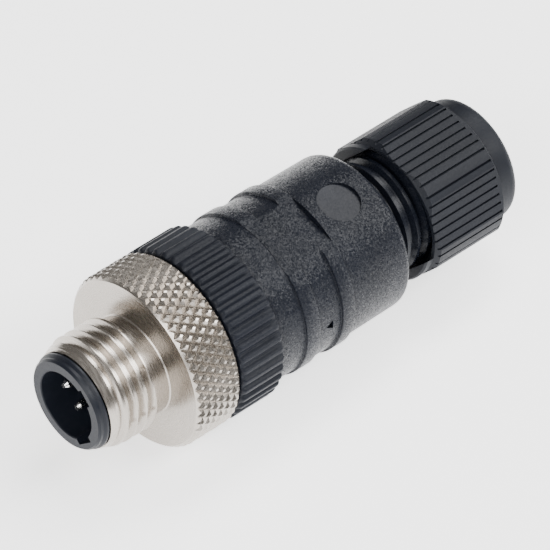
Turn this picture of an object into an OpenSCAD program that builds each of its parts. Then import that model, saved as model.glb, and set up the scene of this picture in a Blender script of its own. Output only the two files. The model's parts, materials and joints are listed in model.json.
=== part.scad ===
// Field-wired circular connector, male, straight, with a screw coupling and a cable gland.
// The connector's axis is the X axis: the mating face looks along -X, the cable leaves along +X.
// Lengths along the axis are stations, counted from the mating face.
// Clock angles are counted round the axis from the top (+Z) towards the front (-Y).

/* [Contacts] */
// Number of contacts
contact_count = 5; // [3:1:6]
// Diameter of the circle that the contacts stand on
contact_circle = 4.6; // [4.2:0.1:5]
// Diameter of a contact pin
pin_diameter = 1.0; // [0.8:0.1:1.1]
// Station of the tip of an ordinary contact
tip_station = 2.05; // [1.8:0.05:3]
// Station of the tip of the earth contact, which mates first
earth_tip_station = 1.7; // [1.2:0.05:2]
// Diameter of the terminal barrel behind each pin
barrel_diameter = 2.3; // [2:0.1:2.4]
// Diameter of the wire hole in the terminal barrel
wire_hole = 1.4; // [1:0.1:1.5]

/* [Mating end] */
// Inner diameter of the shroud round the pins
shroud_bore = 7.8; // [7.5:0.1:8]
// Outer diameter of the shroud at its mouth
shroud_diameter = 10.5; // [10.2:0.1:10.6]
// Depth of the cavity
cavity_depth = 9.0; // [8:0.5:10]
// Width of the wide keyway
wide_key = 2.4; // [2.2:0.1:2.6]
// Width of the narrow keyway
narrow_key = 1.9; // [1.6:0.1:2]
// Reach of both keyways from the axis
key_reach = 4.4; // [4.2:0.05:4.5]

/* [Coupling screw] */
// Major diameter of the coupling thread
thread_diameter = 12.7; // [12:0.1:12.7]
// Diameter of the knurled rim
knurl_diameter = 20.1; // [18:0.1:21]
// Length of the knurled rim
knurl_length = 5.95; // [5:0.05:6.2]
// Chamfer of the rim's edges
rim_chamfer = 0.45; // [0.2:0.05:0.8]

/* [Grip ring] */
// Diameter over the teeth
grip_diameter = 20.15; // [19:0.05:21]
// Number of teeth
tooth_count = 45; // [30:1:60]
// Height of a tooth
tooth_height = 0.45; // [0.2:0.05:0.5]
// Width of a tooth at its crest
tooth_width = 0.78; // [0.5:0.02:0.9]

/* [Housing sleeve] */
// Diameter of the sleeve at its front end
sleeve_diameter = 18.5; // [18:0.1:18.8]
// Loss of diameter from the front end to the rear end
sleeve_draft = 0.36; // [0:0.02:0.5]
// Diameter of the two raised bands
band_diameter = 18.96; // [18.8:0.02:19.4]
// Radius of the sleeve's rear edge
shoulder_radius = 0.9; // [0.5:0.1:1.4]
// Major diameter of the gland thread
neck_diameter = 13.0; // [12.6:0.1:13]

// Distance of the flat label field from the axis
label_height = 8.62; // [8.5:0.02:9]

/* [Gland] */
// Width of the gland nut across its flats
nut_flats = 15.8; // [15.4:0.1:16]
// Width of the gland nut across its rounded corners
nut_corners = 16.8; // [16.3:0.1:17]
// Number of grooves on each flat
groove_count = 8; // [4:1:10]
// Distance from groove to groove
groove_pitch = 1.02; // [0.8:0.02:1.04]
// Width of a groove
groove_width = 0.24; // [0.2:0.02:0.4]
// Depth of a groove
groove_depth = 0.25; // [0.15:0.05:0.35]
// Diameter of the cable hole in the nut
cable_hole = 6.8; // [6.4:0.1:7]
// Inner diameter of the relaxed rubber seal
seal_bore = 6.2; // [5.6:0.1:6.4]
// Number of fingers on the clamping cage
finger_count = 8; // [6:1:10]

/* [Hidden] */
$fn = 96;
eps = 0.01;

// Stations along the axis
thread_start = 3.0;
thread_end = 7.3;
origin_station = (thread_start + thread_end) / 2;
screw_front = 1.25;
rim_front = 9.3;
rim_rear = rim_front + knurl_length;
grip_front = rim_rear + 0.25;
grip_rear = 21.25;
spigot_end = 27.2;
block_end = 33.0;
sleeve_front = grip_rear + 0.05;
front_band = [24.85, 26.75];
rear_band = [29.9, 31.65];
sleeve_rear = 40.15;
neck_end = 49.6;
lug_front = 43.5;
barrel_front = 44.5;
barrel_rear = 54.75;
nut_rear = 57.65;

// Radii
pin_r = pin_diameter / 2;
circle_r = contact_circle / 2;
barrel_r = barrel_diameter / 2;
journal_r = 5.2;
lip_r = 5.5;
screw_bore_r = journal_r + 0.06;
screw_pocket_r = 7.6;
relief_r = 5.6;
block_r = 6.4;
body_r = 7.3;
flange_r = 7.9;
grip_r = grip_diameter / 2;
spigot_r = 8.0;
neck_r = neck_diameter / 2;
neck_bore_r = 5.0;
nut_bore_r = neck_r + 0.08;
nut_end_r = 7.1;
dome_r = 1.05;
lug_gap = 13.5;

// Clock angles
earth_clock = -90;
wide_key_clock = 137;
narrow_key_clock = 43;
nut_clock = 12;
label_clock = 16.5;
arrow_clock = 90;

// Terminal screws stand radially on the barrels
screw_station = 29.4;
screw_r = 0.87;
screw_head_r = 1.25;

black_plastic = [0.10, 0.10, 0.12];
dark_rubber = [0.07, 0.07, 0.08];
nickel = [0.78, 0.76, 0.72];
tinned = [0.85, 0.84, 0.80];

// Stands a shape drawn along Z, from station 0 upwards, on the connector's axis
module on_axis() {
    rotate([0, 90, 0])
        translate([0, 0, -origin_station])
            children();
}

// Turns a profile of radius and station round the connector's axis
module turned() {
    on_axis()
        rotate_extrude()
            children();
}

// A plain cylinder round the axis between two stations
module drum(radius, from, to) {
    on_axis()
        translate([0, 0, from])
            cylinder(r = radius, h = to - from);
}

// Places a shape that stands along Z at a station and a clock angle
module at_clock(angle, station) {
    rotate([angle, 0, 0])
        translate([station - origin_station, 0, 0])
            children();
}

// Places a shape drawn along Z on the axis of one contact
module at_contact(index) {
    rotate([earth_clock + 360 / contact_count * (index - 1), 0, 0])
        translate([0, 0, circle_r])
            on_axis()
                children();
}

// Radius of the sleeve's tapered skin at a station
function skin_r(station) =
    sleeve_diameter / 2
    - sleeve_draft / 2 * (station - sleeve_front) / (sleeve_rear - sleeve_front);

// A slot along the axis that opens the cavity's wall outwards
module keyway(clock, width) {
    at_clock(clock, 0)
        translate([-eps, -width / 2, circle_r])
            cube([cavity_depth + eps, width, key_reach - circle_r]);
}

// Insulating body: shroud, journal for the coupling screw, flange and terminal block
module carrier_body() {
    mouth_r = shroud_diameter / 2;
    turned()
        polygon([
            [shroud_bore / 2 + 0.1, 0],
            [mouth_r - 0.2, 0],
            [mouth_r, 0.25],
            [mouth_r, 0.6],
            [lip_r, 0.85],
            [lip_r, 1.1],
            [journal_r, 1.1],
            [journal_r, 12.45],
            [body_r, 12.45],
            [body_r, grip_front],
            [flange_r, grip_front],
            [flange_r, grip_front + 1],
            [body_r, grip_front + 1],
            [body_r, 18],
            [block_r, 18],
            [block_r, block_end - 0.3],
            [block_r - 0.3, block_end],
            [0, block_end],
            [0, cavity_depth],
            [shroud_bore / 2, cavity_depth],
            [shroud_bore / 2, 0.1]
        ]);
}

module contact_carrier() {
    gap = 0.03;
    color(black_plastic)
        difference() {
            carrier_body();
            keyway(wide_key_clock, wide_key);
            keyway(narrow_key_clock, narrow_key);
            for (i = [1:contact_count]) {
                at_contact(i) {
                    translate([0, 0, cavity_depth - 1])
                        cylinder(r = 0.75 + gap, h = 13);
                    translate([0, 0, 20.5 - gap])
                        cylinder(r = barrel_r + gap, h = block_end);
                }
                at_clock(earth_clock + 360 / contact_count * (i - 1), screw_station)
                    translate([0, 0, circle_r])
                        cylinder(r = screw_head_r + 0.15, h = block_r);
            }
        }
}

// One turned contact: pin, shank and terminal barrel with its wire hole and screw hole
module contact_pin(index) {
    tip = index == 1 ? earth_tip_station : tip_station;
    color(tinned)
        difference() {
            at_contact(index)
                rotate_extrude($fn = 48)
                    polygon([
                        [0, tip],
                        [pin_r - 0.2, tip],
                        [pin_r, tip + 0.35],
                        [pin_r, cavity_depth],
                        [0.75, cavity_depth],
                        [0.75, 20.5],
                        [barrel_r, 20.5],
                        [barrel_r, block_end - 0.4],
                        [wire_hole / 2, block_end - 0.4],
                        [wire_hole / 2, 25],
                        [0, 24.6]
                    ]);
            at_clock(earth_clock + 360 / contact_count * (index - 1), screw_station)
                translate([0, 0, circle_r])
                    cylinder(r = screw_r + 0.04, h = barrel_r * 2, $fn = 48);
        }
}

// A slotted clamping screw that presses the wire inside the barrel
module terminal_screw(index) {
    tip_height = circle_r + 0.3;
    head_height = circle_r + barrel_r + 0.45;
    head_top = 5.7;
    color(nickel)
        at_clock(earth_clock + 360 / contact_count * (index - 1), screw_station)
            difference() {
                union() {
                    translate([0, 0, tip_height])
                        cylinder(r = screw_r, h = head_height - tip_height + eps, $fn = 48);
                    translate([0, 0, head_height])
                        cylinder(r = screw_head_r, h = head_top - head_height, $fn = 48);
                }
                translate([-screw_head_r - 1, -0.2, head_top - 0.6])
                    cube([2 * screw_head_r + 2, 0.4, 1]);
            }
}

// Turned brass coupling screw: thread, relief, flat flange face and knurled rim
module coupling_screw() {
    thread_r = thread_diameter / 2;
    rim_r = knurl_diameter / 2;
    color(nickel)
        turned()
            polygon([
                [screw_bore_r + 0.1, screw_front],
                [5.62, screw_front],
                [thread_r, thread_start],
                [thread_r, thread_end],
                [relief_r, thread_end + 0.3],
                [relief_r, rim_front],
                [rim_r - rim_chamfer, rim_front],
                [rim_r, rim_front + rim_chamfer],
                [rim_r, rim_rear - rim_chamfer],
                [rim_r - rim_chamfer, rim_rear],
                [screw_pocket_r, rim_rear],
                [screw_pocket_r, 11.4],
                [screw_bore_r, 11.4],
                [screw_bore_r, screw_front + 0.1]
            ]);
}

// Round-section ring whose middle lies at the given radius and station
module round_ring(middle_r, section_r, station) {
    turned()
        translate([middle_r, station])
            circle(r = section_r, $fn = 48);
}

module damping_ring() {
    color(dark_rubber)
        round_ring(journal_r + 0.5, 0.47, 11.93);
}

// Teeth of the grip ring, as a flat outline round the axis
module tooth_outline() {
    root_r = grip_r - tooth_height;
    circle(r = root_r);
    for (i = [0:tooth_count - 1])
        rotate((i + 0.5) * 360 / tooth_count)
            polygon([
                [root_r - 0.4, -tooth_width / 2 - 0.1],
                [grip_r, -tooth_width / 2],
                [grip_r, tooth_width / 2],
                [root_r - 0.4, tooth_width / 2 + 0.1]
            ]);
}

// Ribbed ring that holds the carrier, with the threaded spigot for the sleeve behind it
module grip_ring() {
    root_r = grip_r - tooth_height;
    color(black_plastic) {
        difference() {
            union() {
                on_axis()
                    translate([0, 0, grip_front])
                        linear_extrude(height = grip_rear - grip_front)
                            tooth_outline();
                turned()
                    polygon([
                        [body_r + 0.5, grip_rear - 1],
                        [root_r - 0.5, grip_rear - 1],
                        [root_r - 0.5, grip_rear],
                        [7.5, grip_rear],
                        [7.5, 22.7],
                        [spigot_r, 22.7],
                        [spigot_r, spigot_end - 0.2],
                        [spigot_r - 0.2, spigot_end],
                        [block_r + 0.5, spigot_end],
                        [block_r + 0.5, grip_rear - 1]
                    ]);
            }
            drum(flange_r + 0.05, grip_front - 1, grip_front + 1.05);
            drum(body_r + 0.03, grip_front, 18.1);
            drum(block_r + 0.5, grip_front, spigot_end + 1);
        }
    }
}

module sleeve_seal_ring() {
    color(dark_rubber)
        round_ring(8.02, 0.5, 22.05);
}

// Raised band round the sleeve, with softened edges
module band(from, to) {
    soft = 0.12;
    base_r = skin_r(to) - 0.6;
    turned()
        polygon([
            [base_r, from],
            [band_diameter / 2 - soft, from],
            [band_diameter / 2, from + soft],
            [band_diameter / 2, to - soft],
            [band_diameter / 2 - soft, to],
            [base_r, to]
        ]);
}

// Outer skin of the sleeve with its rounded rear edge
module sleeve_skin() {
    rear_r = skin_r(sleeve_rear);
    turned() {
        polygon([
            [0, sleeve_front],
            [skin_r(sleeve_front) - 0.15, sleeve_front],
            [skin_r(sleeve_front), sleeve_front + 0.15],
            [rear_r, sleeve_rear - shoulder_radius],
            [rear_r - shoulder_radius, sleeve_rear - shoulder_radius],
            [rear_r - shoulder_radius, sleeve_rear],
            [0, sleeve_rear]
        ]);
        intersection() {
            translate([rear_r - shoulder_radius, sleeve_rear - shoulder_radius])
                circle(r = shoulder_radius);
            translate([rear_r - shoulder_radius, sleeve_rear - shoulder_radius])
                square(shoulder_radius + 1);
        }
    }
}

// Neck that carries the gland thread
module neck() {
    turned()
        polygon([
            [0, sleeve_rear - 1],
            [neck_r - 0.6, sleeve_rear - 1],
            [neck_r - 0.6, sleeve_rear + 0.5],
            [neck_r, sleeve_rear + 0.9],
            [neck_r, neck_end - 0.4],
            [neck_r - 0.4, neck_end],
            [0, neck_end]
        ]);
}

// Everything hollow inside the sleeve: seal seat, thread bore, wiring chamber and gland bore
module sleeve_hollow() {
    turned()
        polygon([
            [0, sleeve_front - 1],
            [8.6, sleeve_front - 1],
            [8.6, 22.8],
            [spigot_r + 0.06, 22.9],
            [spigot_r + 0.06, 27.8],
            [screw_pocket_r, 28.4],
            [screw_pocket_r, 37.2],
            [3.4, 39.2],
            [3.4, 41.5],
            [neck_bore_r, 41.5],
            [neck_bore_r, neck_end + 1],
            [0, neck_end + 1]
        ]);
}

// Flat field for a label, sunk from the front band's edge to the rear band's edge
module label_field() {
    width = 10;
    overrun = 0.06;
    at_clock(label_clock, front_band[0] - overrun)
        translate([0, -width / 2, label_height])
            cube([rear_band[1] - front_band[0] + 2 * overrun, width, 2]);
}

// Shallow round recess for a moulding insert
module dial_recess() {
    at_clock(label_clock, 35.35)
        translate([0, 0, 8.72])
            cylinder(r = 2.4, h = 2);
}

// Small sunk triangle that marks the keyways' side
module arrow_recess() {
    at_clock(arrow_clock, 28.4)
        translate([0, 0, 8.8])
            linear_extrude(height = 2)
                polygon([[-0.6, 0], [0.5, -0.6], [0.5, 0.6]]);
}

module housing_sleeve() {
    color(black_plastic)
        difference() {
            union() {
                sleeve_skin();
                band(front_band[0], front_band[1]);
                band(rear_band[0], rear_band[1]);
                neck();
            }
            sleeve_hollow();
            label_field();
            dial_recess();
            arrow_recess();
        }
}

module gland_seal() {
    outer_r = neck_bore_r - 0.1;
    color(dark_rubber)
        turned()
            polygon([
                [seal_bore / 2, 41.9],
                [seal_bore / 2 + 0.3, 41.6],
                [outer_r - 0.3, 41.6],
                [outer_r, 41.9],
                [outer_r, 46.3],
                [outer_r - 0.3, 46.6],
                [seal_bore / 2 + 0.3, 46.6],
                [seal_bore / 2, 46.3]
            ]);
}

// Slotted ring whose fingers close on the cable when the nut is tightened
module clamping_cage() {
    outer_r = neck_bore_r - 0.1;
    slot = 0.6;
    color(black_plastic)
        difference() {
            turned()
                polygon([
                    [3.5, 46.7],
                    [outer_r, 46.7],
                    [outer_r, 50.1],
                    [outer_r - 0.6, 50.9],
                    [3.5, 50.9]
                ]);
            for (i = [0:finger_count - 1])
                at_clock(i * 360 / finger_count, 48.2)
                    translate([0, -slot / 2, 2])
                        cube([5, slot, 5]);
        }
}

module thrust_ring() {
    color(black_plastic)
        turned()
            translate([3.6, 53.85])
                square([2.5, 0.85]);
}

// Turned envelope of the gland nut: barrel with its front lugs, and domed end
module nut_envelope() {
    turned() {
        polygon([
            [0, lug_front],
            [nut_flats / 2 - 0.2, lug_front],
            [nut_flats / 2, lug_front + 0.2],
            [nut_flats / 2, barrel_front],
            [nut_corners / 2, barrel_front + 0.5],
            [nut_corners / 2, barrel_rear - 0.65],
            [nut_end_r + 0.4, barrel_rear],
            [nut_end_r, barrel_rear],
            [nut_end_r, nut_rear - dome_r],
            [nut_end_r - dome_r, nut_rear - dome_r],
            [nut_end_r - dome_r, nut_rear],
            [0, nut_rear]
        ]);
        intersection() {
            translate([nut_end_r - dome_r, nut_rear - dome_r])
                circle(r = dome_r);
            translate([nut_end_r - dome_r, nut_rear - dome_r])
                square(dome_r + 1);
        }
    }
}

// Wide slot across the front, which leaves a lug on each of two opposite flats,
// and the countersink at its floor
module lug_slot() {
    length = barrel_front - lug_front + 2;
    intersection() {
        at_clock(nut_clock + 120, lug_front)
            translate([-1, -nut_corners, -lug_gap / 2])
                cube([length + 1, 2 * nut_corners, lug_gap]);
        turned()
            polygon([
                [0, lug_front - 1],
                [nut_corners, lug_front - 1],
                [nut_corners, barrel_front],
                [nut_bore_r + 0.9, barrel_front],
                [nut_bore_r, barrel_front + 0.9],
                [0, barrel_front + 0.9]
            ]);
    }
}

// Height of the nut's surface over the axis, across one flat
function nut_surface(across) =
    min(nut_flats / 2, sqrt(pow(nut_corners / 2, 2) - across * across));

// The parallel grooves of all six flats
module nut_grooves() {
    for (face = [0:5])
        for (i = [0:groove_count - 1]) {
            across = (i - (groove_count - 1) / 2) * groove_pitch;
            at_clock(nut_clock + 60 * face, barrel_front - 0.1)
                translate([0, across - groove_width / 2, nut_surface(across) - groove_depth])
                    cube([barrel_rear - barrel_front - 0.65, groove_width, 2]);
        }
}

module gland_nut() {
    color(black_plastic)
        difference() {
            intersection() {
                nut_envelope();
                rotate([nut_clock, 0, 0])
                    on_axis()
                        rotate(30)
                            cylinder(r = nut_flats / 2 / cos(30), h = nut_rear + 1, $fn = 6);
            }
            lug_slot();
            nut_grooves();
            turned()
                polygon([
                    [0, lug_front - 1],
                    [nut_bore_r, lug_front - 1],
                    [nut_bore_r, 53],
                    [6.2, 53.3],
                    [6.2, barrel_rear],
                    [cable_hole / 2, barrel_rear],
                    [cable_hole / 2, nut_rear - 0.4],
                    [cable_hole / 2 + 0.9, nut_rear + 0.5],
                    [0, nut_rear + 0.5]
                ]);
        }
}

contact_carrier();
contact_pin(1);  // contact_pin_1
contact_pin(2);  // contact_pin_2
contact_pin(3);  // contact_pin_3
contact_pin(4);  // contact_pin_4
contact_pin(5);  // contact_pin_5
terminal_screw(1);  // terminal_screw_1
terminal_screw(2);  // terminal_screw_2
terminal_screw(3);  // terminal_screw_3
terminal_screw(4);  // terminal_screw_4
terminal_screw(5);  // terminal_screw_5
coupling_screw();
damping_ring();
grip_ring();
sleeve_seal_ring();
housing_sleeve();
gland_seal();
clamping_cage();
thrust_ring();
gland_nut();
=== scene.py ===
import bpy
import json
from math import atan2, ceil, cos, pi, radians, sin, sqrt, tau
from mathutils import Matrix, Vector


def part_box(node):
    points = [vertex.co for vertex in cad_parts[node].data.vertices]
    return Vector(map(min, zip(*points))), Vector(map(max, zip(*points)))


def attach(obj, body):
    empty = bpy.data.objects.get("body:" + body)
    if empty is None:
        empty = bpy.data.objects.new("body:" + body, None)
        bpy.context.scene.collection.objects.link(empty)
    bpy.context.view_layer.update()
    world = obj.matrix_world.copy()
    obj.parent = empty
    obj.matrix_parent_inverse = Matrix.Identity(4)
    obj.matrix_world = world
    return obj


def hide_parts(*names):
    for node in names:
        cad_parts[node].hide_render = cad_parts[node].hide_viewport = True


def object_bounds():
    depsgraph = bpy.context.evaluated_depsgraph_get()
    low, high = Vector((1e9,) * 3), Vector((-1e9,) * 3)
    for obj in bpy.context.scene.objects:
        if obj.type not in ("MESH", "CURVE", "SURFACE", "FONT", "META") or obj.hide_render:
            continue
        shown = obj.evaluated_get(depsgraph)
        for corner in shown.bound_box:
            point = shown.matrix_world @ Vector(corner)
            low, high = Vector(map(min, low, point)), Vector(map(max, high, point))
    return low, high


# The connector lies along X: its mating face looks along -X, the cable leaves along +X.
# Sizes in the dictionaries are millimetres, stations are counted from the mating face,
# clock angles run round the axis from the top towards the front.

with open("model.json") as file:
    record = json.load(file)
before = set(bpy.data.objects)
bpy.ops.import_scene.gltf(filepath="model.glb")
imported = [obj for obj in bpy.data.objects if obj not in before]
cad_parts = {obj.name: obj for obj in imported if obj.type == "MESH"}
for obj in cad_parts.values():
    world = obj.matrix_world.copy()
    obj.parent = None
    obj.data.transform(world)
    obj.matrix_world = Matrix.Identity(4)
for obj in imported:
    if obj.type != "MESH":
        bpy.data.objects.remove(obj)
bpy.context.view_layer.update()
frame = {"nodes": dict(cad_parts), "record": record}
mm = 0.001
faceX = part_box("contact_carrier")[0].x  # the mating face is station 0
record = frame["record"]


def station(value):
    return faceX + value * mm


def onClock(angle, radius, place):
    # a point at a clock angle, a radius and a station
    a = radians(angle)
    return Vector((station(place), -radius * mm * sin(a), radius * mm * cos(a)))


def deselectAll():
    if bpy.context.object and bpy.context.object.mode != "OBJECT":
        bpy.ops.object.mode_set(mode="OBJECT")
    bpy.ops.object.select_all(action="DESELECT")


def makeActive(piece):
    deselectAll()
    piece.select_set(True)
    bpy.context.view_layer.objects.active = piece


def addObject(name, verts, edges=(), faces=()):
    mesh = bpy.data.meshes.new(name)
    mesh.from_pydata(verts, list(edges), list(faces))
    piece = bpy.data.objects.new(name, mesh)
    bpy.context.collection.objects.link(piece)
    makeActive(piece)
    return piece


def outline(name, points):
    # a closed profile of station and radius, standing above the axis in the XZ plane
    verts = [(station(s), 0, r * mm) for s, r in points]
    edges = [(i, i + 1) for i in range(len(verts) - 1)]
    return addObject(name, verts, edges + [(len(verts) - 1, 0)])


def editAll():
    bpy.ops.object.mode_set(mode="EDIT")
    bpy.ops.mesh.select_all(action="SELECT")


def tidyMesh(mergeWithin=0.0005):
    # merges doubles and turns the faces outwards, then leaves edit mode
    bpy.ops.mesh.select_all(action="SELECT")
    bpy.ops.mesh.remove_doubles(threshold=mergeWithin * mm)
    bpy.ops.mesh.normals_make_consistent(inside=False)
    bpy.ops.object.mode_set(mode="OBJECT")


def turn(name, points, steps):
    # turns a profile once round the axis
    piece = outline(name, points)
    editAll()
    bpy.ops.mesh.spin(steps=steps, angle=tau, center=(0, 0, 0), axis=(1, 0, 0))
    tidyMesh()
    return piece


def applyModifier(piece, kind, **settings):
    modifier = piece.modifiers.new(kind.lower(), kind)
    for key, value in settings.items():
        setattr(modifier, key, value)
    makeActive(piece)
    bpy.ops.object.modifier_apply(modifier=modifier.name)


def cut(piece, tool):
    applyModifier(piece, "BOOLEAN", object=tool, operation="DIFFERENCE", solver="EXACT")
    bpy.data.objects.remove(tool)


def grooveSection(thread, radius, start):
    # the groove between two crests as it crosses the top line of the piece,
    # moved by a number of pitches
    pitch, crest, root, depth = (thread[key] for key in ("pitch", "crest", "root", "depth"))
    clock, at = thread["crestPlace"]
    middle = at - pitch / 2 - pitch * clock / 360
    outer = pitch / 2 - crest / 2
    over, flare = 0.3, 0.3  # how far the cutter stands out, and how much it widens there
    slope = (outer - root / 2) / depth
    points = [
        (middle - outer - over * slope * flare, radius + over),
        (middle - outer, radius),
        (middle - root / 2, radius - depth),
        (middle + root / 2, radius - depth),
        (middle + outer, radius),
        (middle + outer + over * slope * flare, radius + over),
    ]
    return [(s + start * pitch, r) for s, r in points]


def cutThread(piece, name, thread, radius):
    # sweeps the groove along a right-hand helix and cuts it out of the piece
    tool = outline(name, grooveSection(thread, radius, thread["start"]))
    applyModifier(
        tool, "SCREW", axis="X", angle=-tau, iterations=thread["turns"],
        steps=thread["steps"], render_steps=thread["steps"],
        screw_offset=thread["pitch"] * mm, use_merge_vertices=True,
    )
    editAll()
    bpy.ops.mesh.select_non_manifold(extend=False, use_multi_face=False)
    bpy.ops.mesh.edge_face_add()
    tidyMesh()
    cut(piece, tool)


def smoothPiece(piece, angle):
    makeActive(piece)
    bpy.ops.object.shade_smooth_by_angle(angle=radians(angle))


def bodyOf(node):
    bodies = record["behaviour"]["bodies"]
    return next(body for body, nodes in bodies.items() if node in nodes)


def seat(piece, material, body, slot, *nodes):
    # gives a finished piece its material and body, and hides the parts it replaces
    piece.data.materials.clear()
    piece.data.materials.append(material)
    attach(piece, body)
    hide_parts(*nodes)


def dress(material, *nodes):
    for node in nodes:
        cadPiece = frame["nodes"][node]
        cadPiece.data.materials.clear()
        cadPiece.data.materials.append(material)


def addNode(tree, kind, output, settings=None, inputs=None):
    # any shader node: its settings come first, then the values or links of its sockets
    made = tree.nodes.new("ShaderNode" + kind)
    for key, value in (settings or {}).items():
        setattr(made, key, value)
    for key, value in (inputs or {}).items():
        if isinstance(value, Sock):
            tree.links.new(value.socket, made.inputs[key])
        else:
            made.inputs[key].default_value = value
    return Sock(tree, made.outputs[output])


class Sock:
    # wraps a socket, so that an expression on it adds Math nodes
    def __init__(self, tree, socket):
        self.tree = tree
        self.socket = socket

    def math(self, operation, *values):
        return addNode(self.tree, "Math", 0, {"operation": operation}, dict(enumerate(values)))

    def __add__(self, other):
        return self.math("ADD", self, other)

    def __radd__(self, other):
        return self.math("ADD", other, self)

    def __sub__(self, other):
        return self.math("SUBTRACT", self, other)

    def __rsub__(self, other):
        return self.math("SUBTRACT", other, self)

    def __mul__(self, other):
        return self.math("MULTIPLY", self, other)

    def __rmul__(self, other):
        return self.math("MULTIPLY", other, self)

    def __lt__(self, other):
        return self.math("LESS_THAN", self, other)

    def __gt__(self, other):
        return self.math("GREATER_THAN", self, other)

    def mapped(self, low, high, start=0.0, end=1.0):
        inputs = {"Value": self, "From Min": low, "From Max": high, "To Min": start, "To Max": end}
        return addNode(self.tree, "MapRange", "Result", None, inputs)


def length(*parts):
    total = sum((part * part for part in parts[1:]), parts[0] * parts[0])
    return total.math("SQRT", total)


class Finish:
    # one material while it is being made
    def __init__(self, name, **uniform):
        self.material = bpy.data.materials.new(name)
        self.material.use_nodes = True
        self.tree = self.material.node_tree
        self.shader = self.tree.nodes["Principled BSDF"]
        for key, value in uniform.items():
            self.shader.inputs[key.replace("_", " ")].default_value = value
        self.place = self.node("TexCoord", "Object")
        parts = self.node("SeparateXYZ", "X", None, {"Vector": self.place}).socket.node.outputs
        self.x, self.y, self.z = (Sock(self.tree, parts[axis]) for axis in "XYZ")

    def node(self, kind, output, settings=None, inputs=None):
        return addNode(self.tree, kind, output, settings, inputs)

    def noise(self, scale, detail, roughness=0.55):
        inputs = {"Vector": self.place, "Scale": scale, "Detail": detail, "Roughness": roughness}
        return self.node("TexNoise", "Fac", None, inputs)

    def vectors(self, operation, output, first, second):
        return self.node("VectorMath", output, {"operation": operation}, {0: first, 1: second})

    def clock(self):
        # angle round the axis, in radians
        return self.y.math("ARCTAN2", self.y, self.z)

    def radius(self):
        return length(self.y, self.z)

    def mix(self, factor, low, high):
        # sockets 6, 7 and output 2 are the Mix node's colours
        inputs = {0: factor, 6: (*low, 1), 7: (*high, 1)}
        return self.node("Mix", 2, {"data_type": "RGBA"}, inputs)

    def bump(self, height, depth):
        # depth is in millimetres
        inputs = {"Height": height, "Distance": depth * mm}
        self.feed("Normal", self.node("Bump", "Normal", None, inputs))

    def feed(self, name, value):
        self.tree.links.new(value.socket, self.shader.inputs[name])


# scales are counts a metre, as the texture nodes take them
plastic = {
    "cloudScale": 120,
    "cloudDetail": 3,
    "cloudRange": (0.35, 0.65),
    "coarseScale": 4800,
    "fineScale": 9000,
    "fineShare": 0.5,
    "grainDetail": 2,
    "facetScale": 8200,
    "grainRoughness": 0.6,
    "glossRange": (0.3, 0.7),
    "patchLight": 1.3,  # how much lighter the light patches are
    "smoother": 0.06,
    "rougher": 0.08,
    "polish": 0.9,  # the share of the relief that polishing takes away
}
metal = {
    "cloudScale": 300,
    "cloudDetail": 3,
    "cloudRange": (0.3, 0.7),
    "patchDark": 0.93,
    "lineAcross": 6000,
    "lineRound": 4,
    "lineDetail": 3,
    "lineRange": (0.25, 0.75),
    "lineDepth": 0.004,
    "smoother": 0.07,
    "rougher": 0.09,
}


def turnedLines(look):
    # noise drawn out round the axis, as a lathe tool leaves it on rims and faces alike
    across = metal["lineAcross"]
    lines = look.node("CombineXYZ", "Vector", None, {
        "X": look.x * across, "Y": look.radius() * across, "Z": look.clock() * metal["lineRound"],
    })
    inputs = {"Vector": lines, "Scale": 1, "Detail": metal["lineDetail"]}
    return look.node("TexNoise", "Fac", None, inputs)


def facets(look, scale):
    # height in metres of small cells that each lean their own way, like spark-eroded grain
    cells = look.node("TexVoronoi", "Color", None, {"Vector": look.place, "Scale": scale})
    centre = Sock(look.tree, cells.socket.node.outputs["Position"])
    lean = look.vectors("SUBTRACT", "Vector", cells, (0.5, 0.5, 0.5))
    reach = look.vectors("SUBTRACT", "Vector", look.place, centre)
    return look.vectors("DOT_PRODUCT", "Value", lean, reach)


def blackPlastic(name, colour, rough, grain, gloss, sparkle=0.0, smooth=None):
    # moulded black plastic: grain is the depth of the mould's texture in millimetres,
    # sparkle is the slope of its facets
    look = Finish(name, Specular_IOR_Level=gloss)
    cloud = look.noise(plastic["cloudScale"], plastic["cloudDetail"])
    detail, roughness = plastic["grainDetail"], plastic["grainRoughness"]
    fine = look.noise(plastic["fineScale"], detail, roughness)
    coarse = look.noise(plastic["coarseScale"], detail, roughness)
    lighter = tuple(c * plastic["patchLight"] for c in colour)
    look.feed("Base Color", look.mix(cloud.mapped(*plastic["cloudRange"]), colour, lighter))
    low, high = rough - plastic["smoother"], rough + plastic["rougher"]
    look.feed("Roughness", coarse.mapped(*plastic["glossRange"], low, high))
    relief = fine * plastic["fineShare"] + coarse
    if sparkle:
        relief = relief * grain + facets(look, plastic["facetScale"]) * (sparkle / mm)
        grain = 1.0
    if smooth:
        relief = relief * (1 - smooth(look) * plastic["polish"])
    look.bump(relief, grain)
    return look.material


def metalFinish(name, colour, rough):
    look = Finish(name, Metallic=1.0)
    cloud = look.noise(metal["cloudScale"], metal["cloudDetail"])
    darker = tuple(c * metal["patchDark"] for c in colour)
    look.feed("Base Color", look.mix(cloud.mapped(*metal["cloudRange"]), darker, colour))
    lathe = turnedLines(look)
    low, high = rough - metal["smoother"], rough + metal["rougher"]
    look.feed("Roughness", lathe.mapped(*metal["lineRange"], low, high))
    look.bump(lathe, metal["lineDepth"])
    return look.material


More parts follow.
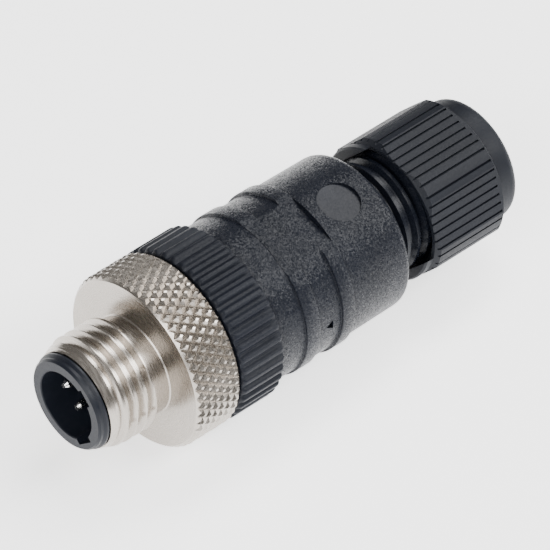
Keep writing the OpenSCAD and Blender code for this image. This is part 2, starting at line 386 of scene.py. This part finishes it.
print("finishes")
finishes = {
    "insulator": {"colour": (0.0065, 0.008, 0.0125), "rough": 0.40, "grain": 0.004, "gloss": 0.2},
    "gland": {"colour": (0.0055, 0.0068, 0.0105), "rough": 0.50, "grain": 0.006, "gloss": 0.18},
    "rubber": {"colour": (0.004, 0.004, 0.005), "rough": 0.7, "grain": 0.01, "gloss": 0.2},
    "nickel": {"colour": (0.45, 0.412, 0.37), "rough": 0.26},
    "contact": {"colour": (0.90, 0.89, 0.87), "rough": 0.16},
}
insulatorFinish = blackPlastic("insulator", **finishes["insulator"])
glandFinish = blackPlastic("gland", **finishes["gland"])
rubberFinish = blackPlastic("rubber", **finishes["rubber"])
nickelFinish = metalFinish("nickel", **finishes["nickel"])
contactFinish = metalFinish("contact", **finishes["contact"])

poles = range(1, 6)
dress(insulatorFinish, "contact_carrier")
dress(contactFinish, *[f"contact_pin_{i}" for i in poles])
dress(nickelFinish, *[f"terminal_screw_{i}" for i in poles])
dress(glandFinish, "gland_nut", "clamping_cage", "thrust_ring")
dress(rubberFinish, "damping_ring", "sleeve_seal_ring", "gland_seal")

print("coupling screw")
screw = {
    "nose": (1.25, 5.6),  # station and radius of the front edge
    "coneEnd": 3.2,
    "threadRadius": 6.35,
    "threadEnd": 7.3,
    "runout": 0.3,
    "relief": 5.6,
    "fillet": 0.12,
    "rim": (9.3, 15.25),
    "rimRadius": 10.045,
    "chamfer": 0.475,
    "bore": 5.26,
    "boreChamfer": 0.1,
    "pocket": (11.4, 7.6),
    "stepsPerDiamond": 4,
    "smoothBelow": 25,  # degrees
}
screwThread = {
    "pitch": 1.27,
    "crest": 0.18,
    "depth": 0.65,
    "crestPlace": (37.45, 7.15),  # clock angle and station of a point on the crest
    "start": -6,  # pitches from there
    "turns": 7,
    "steps": 72,
}
flanks = 2 * screwThread["depth"] / sqrt(3)  # of a thread with 60 degrees between them
screwThread["root"] = screwThread["pitch"] - screwThread["crest"] - flanks
knurl = {
    "round": 52,  # diamonds in a row
    "length": 1.74,
    "depth": 0.38,
    "top": 0.27,  # the flat top's share of a diamond
    "over": 0.06,  # metal over the finished rim, which the cutter takes off
    "outside": 1.5,
    "mergeWithin": 0.002,
}


def knurlCutter(name, rim, top):
    # what is cut away round the raised diamonds, out to a plain cylinder
    count, size, flat = knurl["round"], knurl["length"], knurl["top"]
    foot, outer = top - knurl["depth"], top + knurl["outside"]
    step = 360 / count
    first = rim[0] - size
    rows = 2 * ceil((rim[1] + size - first) / size) + 1
    last = first + (rows - 1) * size / 2
    corners = [(-0.5, 0), (0, -0.5), (0.5, 0), (0, 0.5)]
    verts, faces = [], []

    def add(*points):
        for clock, s, r in points:
            verts.append(onClock(clock, r, s))
        faces.append(list(range(len(verts) - len(points), len(verts))))

    for row in range(rows):
        for column in range(count):
            clock = (column + row % 2 / 2) * step
            s = first + row * size / 2
            feet = [(clock + i * step, s + j * size, foot) for i, j in corners]
            tops = [(clock + i * step * flat, s + j * size * flat, top) for i, j in corners]
            add(*tops)
            for i in range(4):
                add(feet[i], feet[(i + 1) % 4], tops[(i + 1) % 4], tops[i])
            if row in (0, rows - 1):
                # the first and last rows close the cutter's ends
                end = feet[1] if row == 0 else feet[3]
                edge = [(c, end[1], outer) for c in (feet[0][0], end[0], feet[2][0])]
                add(feet[0], end, edge[1], edge[0])
                add(end, feet[2], edge[2], edge[1])
                if row == 0:
                    far = [(c, last + size / 2, outer) for c, _, _ in edge]
                    add(edge[0], edge[1], far[1], far[0])
                    add(edge[1], edge[2], far[2], far[1])
    tool = addObject(name, verts, faces=faces)
    editAll()
    tidyMesh(knurl["mergeWithin"])
    return tool


def couplingScrew():
    rimFront, rimRear = screw["rim"]
    over, chamfer = knurl["over"], screw["chamfer"]
    rimRadius = screw["rimRadius"] + over
    noseAt, noseRadius = screw["nose"]
    pocketAt, pocketRadius = screw["pocket"]
    bore, boreChamfer = screw["bore"], screw["boreChamfer"]
    relief, fillet = screw["relief"], screw["fillet"]
    piece = turn("couplingScrew", [
        (noseAt, bore + boreChamfer),
        (noseAt, noseRadius),
        (screw["coneEnd"], screw["threadRadius"]),
        (screw["threadEnd"], screw["threadRadius"]),
        (screw["threadEnd"] + screw["runout"], relief),
        (rimFront - fillet, relief),
        (rimFront, relief + fillet),
        (rimFront, rimRadius - chamfer - over),
        (rimFront + chamfer + over, rimRadius),
        (rimRear - chamfer - over, rimRadius),
        (rimRear, rimRadius - chamfer - over),
        (rimRear, pocketRadius),
        (pocketAt, pocketRadius),
        (pocketAt, bore),
        (noseAt + boreChamfer, bore),
    ], steps=screw["stepsPerDiamond"] * knurl["round"])
    cut(piece, knurlCutter("knurlCutter", screw["rim"], screw["rimRadius"]))
    cutThread(piece, "threadCutter", screwThread, screw["threadRadius"])
    smoothPiece(piece, screw["smoothBelow"])
    seat(piece, nickelFinish, bodyOf("coupling_screw"), "coupling", "coupling_screw")


couplingScrew()

print("grip ring")
grip = {
    "colour": (0.006, 0.0073, 0.0115),
    "rough": 0.42,
    "grain": 0.006,
    "gloss": 0.16,
    "sparkle": 0.15,
    "front": 15.5,
    "rear": 21.25,
    "radius": 10.07,
    # how far the rounded edges reach along the axis, and how far they drop
    "frontEdge": ((0, 0.40), (0.10, 0.16), (0.28, 0.03), (0.5, 0)),
    "rearEdge": ((0.45, 0), (0.25, 0.04), (0.08, 0.18), (0, 0.42)),
    "ribs": 45,
    "ribHeight": 0.42,
    "ribWidth": 0.74,
    "ribSoftness": 0.42,  # how far round a rib's flank reaches
    "stepsPerRib": 14,
    "rearRecess": 7.5,
    "spigot": (22.7, 27.2, 8.0),
    "spigotChamfer": 0.2,
    "bore": 6.9,
    "wideBore": (18.1, 7.33),  # where it ends, and its radius
    "frontPocket": (1.05, 7.95),  # depth and radius
    "smoothBelow": 40,  # degrees
}
skin = ("colour", "rough", "grain", "gloss", "sparkle")
gripFinish = blackPlastic("grip", **{key: grip[key] for key in skin})


def shapeRibs(piece):
    # sinks the skin between the ribs
    root = (grip["radius"] - grip["ribHeight"]) * mm
    half = pi * grip["radius"] / grip["ribs"]
    softness = grip["ribSoftness"]
    for point in piece.data.vertices:
        reach = sqrt(point.co.y ** 2 + point.co.z ** 2)
        if reach > root:
            turns = atan2(-point.co.y, point.co.z) / tau * grip["ribs"]
            away = abs(turns - round(turns)) * 2 * half  # from the middle of the nearest rib
            rise = (grip["ribWidth"] / 2 + softness / 2 - away) / softness
            rise = min(max(rise, 0), 1)
            rise = rise * rise * (3 - 2 * rise)
            point.co.yz = point.co.yz * ((root + (reach - root) * rise) / reach)


def gripRing():
    front, rear, radius = grip["front"], grip["rear"], grip["radius"]
    spigotFront, spigotEnd, spigotRadius = grip["spigot"]
    chamfer, recess = grip["spigotChamfer"], grip["rearRecess"]
    wideEnd, wideBore = grip["wideBore"]
    pocketDepth, pocketRadius = grip["frontPocket"]
    points = [(front, pocketRadius)]
    points += [(front + along, radius - drop) for along, drop in grip["frontEdge"]]
    points += [(rear - along, radius - drop) for along, drop in grip["rearEdge"]]
    points += [
        (rear, recess),
        (spigotFront, recess),
        (spigotFront, spigotRadius),
        (spigotEnd - chamfer, spigotRadius),
        (spigotEnd, spigotRadius - chamfer),
        (spigotEnd, grip["bore"]),
        (wideEnd, grip["bore"]),
        (wideEnd, wideBore),
        (front + pocketDepth, wideBore),
        (front + pocketDepth, pocketRadius),
    ]
    piece = turn("gripRing", points, steps=grip["ribs"] * grip["stepsPerRib"])
    shapeRibs(piece)
    smoothPiece(piece, grip["smoothBelow"])
    seat(piece, gripFinish, bodyOf("grip_ring"), "grip", "grip_ring")


gripRing()

print("housing sleeve")
housing = {
    "colour": (0.0055, 0.0068, 0.011),
    "rough": 0.28,
    "grain": 0.004,
    "gloss": 0.17,
    "sparkle": 0.44,
    "front": (21.3, 9.25),  # station and radius of the skin
    "rear": (40.15, 9.07),
    "frontRound": 0.15,
    "bands": ((24.85, 26.75), (29.9, 31.65)),
    "bandRadius": 9.48,
    "bandFoot": 0.07,
    "bandRound": 0.12,
    "shoulder": 0.9,
    "shoulderSteps": 6,
    "neckRadius": 6.5,
    "neckRoot": 5.9,
    "neckFront": (40.65, 41.05),  # where the step at its root starts and ends
    "neckEnd": 49.6,
    "neckChamfer": 0.4,
    "glandBore": (41.5, 5.0),  # where it ends, and its radius
    "wireHole": (39.2, 3.4),
    "chamber": (37.2, 28.4, 7.6),
    "spigotBore": (27.8, 22.9, 8.06),
    "mouth": (22.8, 8.6),
    "label": (16.5, 8.62, 10.0),  # clock angle, distance from the axis and width
    "dial": (35.35, 2.4, 8.72),  # station, radius and distance of its floor from the axis
    "dialSides": 96,
    "arrow": (90.0, 28.4, 8.8),  # clock angle, station and distance of its floor from the axis
    "arrowRadius": 0.68,
    "steps": 240,
    "smoothBelow": 28,  # degrees
}
neckThread = {
    "pitch": 1.48,
    "crest": 0.42,
    "root": 0.36,
    "depth": 0.55,
    "crestPlace": (37.45, 44.1),
    "start": -2,
    "turns": 8,
    "steps": 72,
}


def neckAndDial(look):
    # 1 where the mould of the housing was polished: on the neck and on the round insert
    within = 0.02  # the polish ends this far inside the insert's edge
    behind = 0.05  # and starts this far behind the shoulder
    clock = radians(housing["label"][0])
    dialAt, dialRadius, _ = housing["dial"]
    across = look.y * cos(clock) + look.z * sin(clock)
    up = look.z * cos(clock) - look.y * sin(clock)
    away = length(look.x - station(dialAt), across)
    dial = (away < (dialRadius - within) * mm) * (up > 0.0)
    neck = look.x > station(housing["rear"][0] + behind)
    return dial.math("MAXIMUM", dial, neck)


housingFinish = blackPlastic("housing", smooth=neckAndDial, **{key: housing[key] for key in skin})


def skinRadius(s):
    (frontAt, frontRadius), (rearAt, rearRadius) = housing["front"], housing["rear"]
    return frontRadius + (rearRadius - frontRadius) * (s - frontAt) / (rearAt - frontAt)


def bandPoints(front, rear):
    soft, foot, radius = housing["bandRound"], housing["bandFoot"], housing["bandRadius"]
    corner = soft * 0.3  # a rounded edge passes this far from its corner
    return [
        (front - foot, skinRadius(front)),
        (front, skinRadius(front) + foot),
        (front, radius - soft),
        (front + corner, radius - corner),
        (front + soft, radius),
        (rear - soft, radius),
        (rear - corner, radius - corner),
        (rear, radius - soft),
        (rear, skinRadius(rear) + foot),
        (rear + foot, skinRadius(rear)),
    ]


def placeTool(tool, clock, along, height):
    # puts a tool that stands on the origin along Z at a clock angle, a station and a height
    makeActive(tool)
    shift = Matrix.Translation((station(along), 0, 0))
    rise = Matrix.Translation((0, 0, height * mm))
    swing = Matrix.Rotation(radians(clock), 4, "X")
    tool.data.transform(shift @ swing @ rise @ tool.matrix_basis)
    tool.matrix_basis = Matrix.Identity(4)
    return tool


def boxTool(size):
    deselectAll()
    bpy.ops.mesh.primitive_cube_add(size=1, location=(0, 0, size[2] * mm / 2))
    tool = bpy.context.object
    tool.scale = [v * mm for v in size]
    return tool


def discTool(radius, height, vertices, turned=0.0):
    deselectAll()
    bpy.ops.mesh.primitive_cylinder_add(
        vertices=vertices, radius=radius * mm, depth=height * mm,
        location=(0, 0, height * mm / 2), rotation=(0, 0, radians(turned)),
    )
    return bpy.context.object


def sleeveProfile():
    frontAt, frontRadius = housing["front"]
    rearAt, rearRadius = housing["rear"]
    mouthEnd, mouthRadius = housing["mouth"]
    edge = housing["frontRound"]
    shoulder, steps = housing["shoulder"], housing["shoulderSteps"]
    points = [(frontAt, mouthRadius), (frontAt, frontRadius - edge), (frontAt + edge, frontRadius)]
    for ends in housing["bands"]:
        points += bandPoints(*ends)
    for i in range(steps + 1):
        a = pi / 2 * i / steps
        back, out = shoulder * sin(a), shoulder * cos(a)
        points.append((rearAt - shoulder + back, rearRadius - shoulder + out))
    neck, neckEnd, chamfer = housing["neckRadius"], housing["neckEnd"], housing["neckChamfer"]
    neckRoot, (stepStart, stepEnd) = housing["neckRoot"], housing["neckFront"]
    glandEnd, glandRadius = housing["glandBore"]
    wireEnd, wireRadius = housing["wireHole"]
    chamberRear, chamberFront, chamberRadius = housing["chamber"]
    spigotRear, spigotFront, spigotRadius = housing["spigotBore"]
    return points + [
        (rearAt, neckRoot),
        (stepStart, neckRoot),
        (stepEnd, neck),
        (neckEnd - chamfer, neck),
        (neckEnd, neck - chamfer),
        (neckEnd, glandRadius),
        (glandEnd, glandRadius),
        (glandEnd, wireRadius),
        (wireEnd, wireRadius),
        (chamberRear, chamberRadius),
        (chamberFront, chamberRadius),
        (spigotRear, spigotRadius),
        (spigotFront, spigotRadius),
        (mouthEnd, mouthRadius),
    ]


def housingSleeve():
    piece = turn("housingSleeve", sleeveProfile(), steps=housing["steps"])
    toolDepth = 2
    clock, height, width = housing["label"]
    labelFront, labelRear = housing["bands"][0][0], housing["bands"][1][1]
    label = boxTool((labelRear - labelFront, width, toolDepth))
    cut(piece, placeTool(label, clock, (labelFront + labelRear) / 2, height))
    dialAt, dialRadius, dialFloor = housing["dial"]
    dial = discTool(dialRadius, toolDepth, housing["dialSides"])
    cut(piece, placeTool(dial, clock, dialAt, dialFloor))
    arrowClock, arrowAt, arrowFloor = housing["arrow"]
    # the arrow is a triangle with one corner towards the mating face
    arrow = discTool(housing["arrowRadius"], toolDepth, 3, 90)
    cut(piece, placeTool(arrow, arrowClock, arrowAt, arrowFloor))
    cutThread(piece, "neckCutter", neckThread, housing["neckRadius"])
    smoothPiece(piece, housing["smoothBelow"])
    seat(piece, housingFinish, bodyOf("housing_sleeve"), "housing", "housing_sleeve")


housingSleeve()

print("stage")
studio = {
    "floorSize": 3.0,
    "floorColour": (0.92, 0.92, 0.92, 1),
    "floorGlow": 1.7,
    "skyColour": (1, 0.985, 0.96, 1),
    "skyStrength": 0.25,
    "aimedAt": 28,  # station
    "lampDistance": 0.6,
    # direction, power and size of each lamp
    "lamps": {
        "keyLight": ((0.5, -0.55, 0.67), 4.5, (0.6, 0.2)),
        "topLight": ((0.5, 0.18, 0.85), 3.5, (0.6, 0.2)),
        "fillLight": ((-0.75, -0.3, 0.55), 3.2, (0.35, 0.35)),
    },
}

low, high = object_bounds()
under = (low.x / 2 + high.x / 2, 0, low.z)
bpy.ops.mesh.primitive_plane_add(size=studio["floorSize"], location=under)
floor = bpy.context.object
floor.name = "floor"
floor.data.transform(floor.matrix_world)
floor.matrix_world = Matrix.Identity(4)
floorLook = Finish(
    "floor", Roughness=0.9, Base_Color=studio["floorColour"],
    Emission_Color=(1, 1, 1, 1), Emission_Strength=studio["floorGlow"],
)
floor.data.materials.append(floorLook.material)

world = bpy.data.worlds.new("studio")
bpy.context.scene.world = world
world.use_nodes = True
sky = world.node_tree.nodes["Background"]
sky.inputs["Color"].default_value = studio["skyColour"]
sky.inputs["Strength"].default_value = studio["skyStrength"]


def softLight(name, direction, power, size):
    towards = Vector(direction).normalized()
    middle = Vector((station(studio["aimedAt"]), 0, 0))
    bpy.ops.object.light_add(type="AREA", location=middle + towards * studio["lampDistance"])
    lamp = bpy.context.object
    lamp.name = name
    lamp.data.shape = "RECTANGLE"
    lamp.data.size, lamp.data.size_y = size
    lamp.data.energy = power
    # the lamp's long side lies along the connector
    across = towards.cross(Vector((1, 0, 0))).normalized()
    along = across.cross(towards).normalized()
    lamp.rotation_euler = Matrix((along, across, towards)).transposed().to_euler()


for name, (direction, power, size) in studio["lamps"].items():
    softLight(name, direction, power, size)

# the camera looks at the connector from the front left and above, through a long lens
shot = {
    "lens": 385.2,
    "away": 600.5,
    "faceRight": -21.35,  # where the mating face's middle lies in the view
    "faceDown": 13.33,
    "forward": (0.5, 0.5467, -0.6717),
    "right": (0.7376, -0.6746, 0.0),
    "roll": -1.7,
    "clip": (0.05, 10),  # metres
}
tilt = Matrix.Rotation(radians(shot["roll"]), 3, "X")
forward = (tilt @ Vector(shot["forward"])).normalized()
right = (tilt @ Vector(shot["right"])).normalized()
down = forward.cross(right).normalized()
eye = Vector((station(0), 0, 0)) - mm * (
    shot["faceRight"] * right + shot["faceDown"] * down + shot["away"] * forward
)
bpy.ops.object.camera_add(location=eye)
camera = bpy.context.object
camera.data.lens = shot["lens"]
camera.data.clip_start, camera.data.clip_end = shot["clip"]
camera.rotation_euler = Matrix((right, -down, -forward)).transposed().to_euler()
bpy.context.scene.camera = camera
